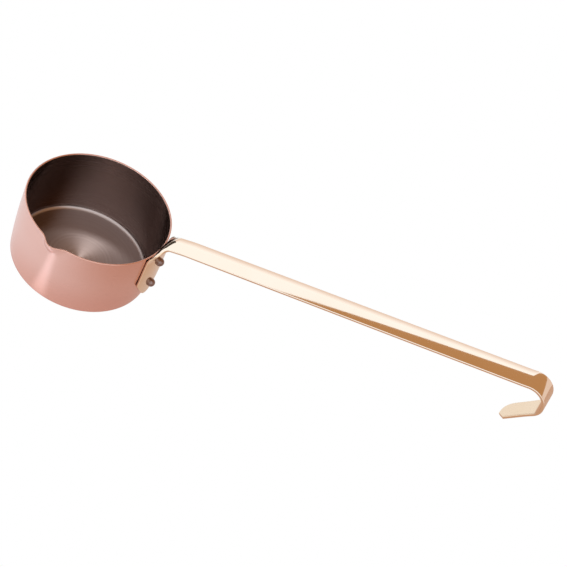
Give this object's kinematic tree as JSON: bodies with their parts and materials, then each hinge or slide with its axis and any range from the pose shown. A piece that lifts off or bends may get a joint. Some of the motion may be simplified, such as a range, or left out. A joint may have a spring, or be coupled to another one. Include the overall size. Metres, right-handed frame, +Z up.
{
  "type": "turkish coffee pot",
  "caption": "Small round copper coffee pot with a pouring lip, a thin metal lining and a long riveted brass handle that ends in a hanging hook.",
  "frame": {"origin": "centre of the cup's underside, on the surface it stands on", "axes": "+Z up the cup's axis, +X along the handle, the pouring lip on the -Y side"},
  "size_m": [0.2872, 0.0837, 0.1122],
  "materials": {
    "copper": "polished copper",
    "lining": "dark satin, turned",
    "brass": "polished",
    "rivet_steel": "satin"
  },
  "bodies": {
    "root": {"copper_cup": "copper", "inner_lining": "lining", "brass_handle": "brass", "upper_rivet": "rivet_steel", "lower_rivet": "rivet_steel"}
  },
  "joints": []
}
